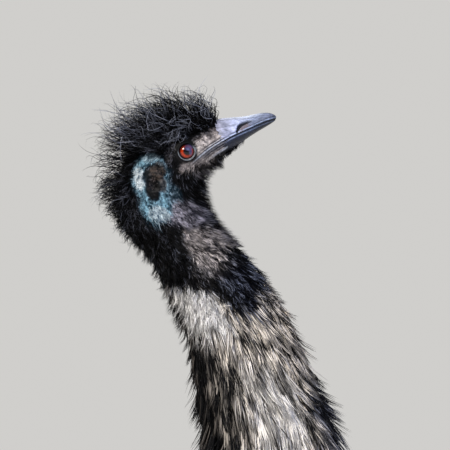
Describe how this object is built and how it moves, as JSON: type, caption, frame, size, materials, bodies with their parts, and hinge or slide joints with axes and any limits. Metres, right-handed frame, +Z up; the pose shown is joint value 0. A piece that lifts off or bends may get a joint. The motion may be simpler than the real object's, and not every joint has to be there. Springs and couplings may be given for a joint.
{
  "type": "emu",
  "caption": "Life-size standing emu, head raised on a long shaggy neck, blue bare skin round the ears, shaggy brown plumage, scaled legs with three-toed feet.",
  "frame": {"origin": "on the floor under the middle of the bounding box", "axes": "+X the way the bird faces, +Y to its left, +Z up"},
  "size_m": [0.9605, 0.4784, 1.665],
  "materials": {
    "skin": "bare wrinkled skin, pale blue round the ears, dusky on the face",
    "black_plume": "fine wispy black hair-like feathers with a faint blue sheen",
    "plume": "long loose shaggy double feathers, grey-brown with cream streaks and dark tips",
    "bill": "blue-grey horn, low sheen, fine scratches along its length",
    "eye": "wet glossy eye, red-brown iris round a black pupil",
    "leg_scale": "dry horny scales, broad plates down the front of the shank and toes",
    "claw": "dark worn horn, scratched at the tips"
  },
  "bodies": {
    "root": {"head": "skin", "crown_tuft": "black_plume", "bill_upper": "bill", "bill_lower": "bill", "eye_left": "eye", "eye_right": "eye", "ear_left": "skin", "ear_right": "skin", "neck_upper": "black_plume", "neck_middle": "plume", "neck_lower": "plume", "breast": "plume", "trunk": "plume", "tail": "plume", "wing_left": "plume", "wing_right": "plume", "thigh_left": "plume", "thigh_right": "plume", "shank_left": "leg_scale", "shank_right": "leg_scale", "foot_left": "leg_scale", "foot_right": "leg_scale", "toe_middle_left": "leg_scale", "toe_middle_right": "leg_scale", "toe_inner_left": "leg_scale", "toe_inner_right": "leg_scale", "toe_outer_left": "leg_scale", "toe_outer_right": "leg_scale", "claw_middle_left": "claw", "claw_middle_right": "claw", "claw_inner_left": "claw", "claw_inner_right": "claw", "claw_outer_left": "claw", "claw_outer_right": "claw"}
  },
  "joints": []
}
